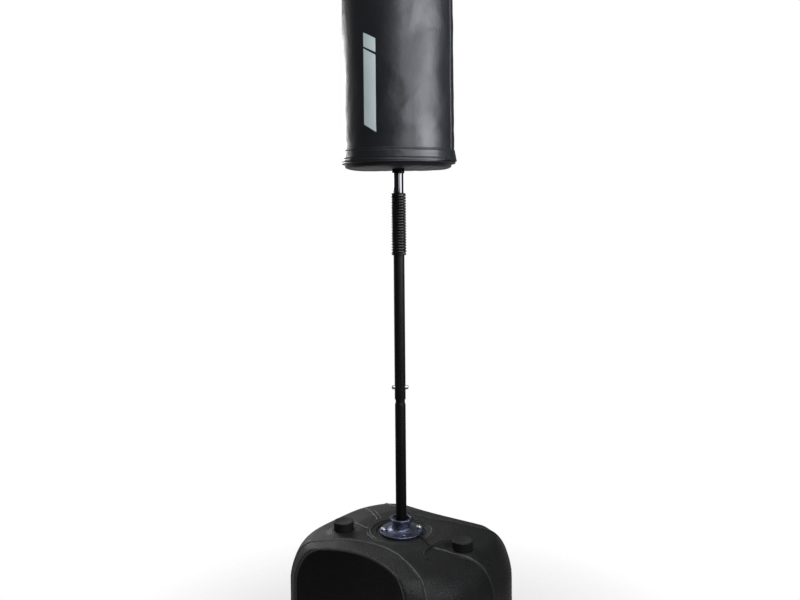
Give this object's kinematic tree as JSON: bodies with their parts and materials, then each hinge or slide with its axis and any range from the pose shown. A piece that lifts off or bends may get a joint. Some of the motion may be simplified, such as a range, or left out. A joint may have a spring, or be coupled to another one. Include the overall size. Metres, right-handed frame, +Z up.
{
  "type": "freestanding punching bag",
  "caption": "Padded cylindrical bag on a black post with a bend spring, standing on a water-filled plastic base with side bays and screw caps.",
  "frame": {"origin": "centre of the base's rest face on the floor, on the post's axis", "axes": "+Z up along the post; the pictured front faces -Y; +X to the viewer's right"},
  "size_m": [0.503, 0.4934, 1.7919],
  "materials": {
    "tank": "black, fine pebble grain",
    "water": "clear",
    "cap": "matte black",
    "strap": "matte black",
    "rubber": "matte black",
    "zinc": "bluish zinc plate",
    "bolt": "bright",
    "brass": "machined",
    "grey_plastic": "satin",
    "paint": "satin black",
    "spring_paint": "satin black",
    "spring_steel": "plain",
    "button": "satin black",
    "gloss": "gloss black",
    "collar": "satin black",
    "foam": "soft filling",
    "cover": "semi-gloss coated fabric"
  },
  "bodies": {
    "stand": {"base_tank": "tank", "cap_tether_left": "strap", "cap_tether_right": "strap", "flange_bolt_1": "bolt", "flange_bolt_2": "bolt", "flange_bolt_3": "bolt", "flange_bolt_4": "bolt", "flange_bush": "grey_plastic", "flange_washer_1": "bolt", "flange_washer_2": "bolt", "flange_washer_3": "bolt", "flange_washer_4": "bolt", "lower_tube": "paint", "pole_flange": "zinc", "snap_clip": "spring_steel", "spring_lower_plug": "paint", "threaded_insert_1": "brass", "threaded_insert_2": "brass", "threaded_insert_3": "brass", "threaded_insert_4": "brass", "upper_tube": "paint", "water_fill": "water"},
    "spring": {"bend_spring": "spring_paint"},
    "rod": {"spring_upper_plug": "paint", "upper_rod": "gloss", "rod_end_cap": "grey_plastic", "stop_collar": "collar"},
    "bag": {"bag_bottom_band": "cover", "bag_bottom_panel": "cover", "bag_bottom_piping": "cover", "bag_core": "foam", "bag_cover": "cover", "bag_seam_strip": "cover", "bag_sleeve": "grey_plastic", "bag_top_band": "cover", "bag_top_panel": "cover", "bag_top_piping": "cover"},
    "gasket_left": {"cap_gasket_left": "rubber"},
    "cap_left": {"filler_cap_left": "cap"},
    "gasket_right": {"cap_gasket_right": "rubber"},
    "cap_right": {"filler_cap_right": "cap"},
    "button_left": {"snap_button_left": "button"},
    "button_right": {"snap_button_right": "button"}
  },
  "joints": [
    {"name": "bend_forward_back", "type": "hinge", "parent": "stand", "child": "spring", "pos_m": [0, 0, 1.0075], "axis": [1, 0, 0], "range_deg": [-30, 30], "stiffness_Nm_per_rad": 180, "deforming": ["bend_spring"]},
    {"name": "bend_sideways", "type": "hinge", "parent": "spring", "child": "rod", "pos_m": [0, 0, 1.0745], "axis": [0, 1, 0], "range_deg": [-30, 30], "stiffness_Nm_per_rad": 180, "deforming": ["bend_spring"]},
    {"name": "bag_turn", "type": "hinge", "parent": "rod", "child": "bag", "pos_m": [0, 0, 1.4], "axis": [0, 0, 1], "continuous": true},
    {"name": "cap_lift_left", "type": "slide", "parent": "stand", "child": "gasket_left", "axis": [0, 0, 1], "range_m": [0, 0.015]},
    {"name": "cap_turn_left", "type": "hinge", "parent": "gasket_left", "child": "cap_left", "pos_m": [-0.1334, 0.012, 0.33665], "axis": [0, 0, 1], "range_deg": [0, 725]},
    {"name": "cap_lift_right", "type": "slide", "parent": "stand", "child": "gasket_right", "axis": [0, 0, 1], "range_m": [0, 0.015]},
    {"name": "cap_turn_right", "type": "hinge", "parent": "gasket_right", "child": "cap_right", "pos_m": [0.1331, -0.0875, 0.33177], "axis": [0, 0, 1], "range_deg": [0, 725]},
    {"name": "button_press_left", "type": "slide", "parent": "stand", "child": "button_left", "axis": [1, 0, 0], "range_m": [0, 0.0084], "stiffness_N_per_m": 900, "deforming": ["snap_clip"]},
    {"name": "button_press_right", "type": "slide", "parent": "stand", "child": "button_right", "axis": [-1, 0, 0], "range_m": [0, 0.0084], "stiffness_N_per_m": 900, "deforming": ["snap_clip"]}
  ],
  "couplings": [
    {"joint": "cap_turn_left", "follows": "cap_lift_left", "rad_per_m": 837.76},
    {"joint": "cap_turn_right", "follows": "cap_lift_right", "rad_per_m": 837.76}
  ]
}
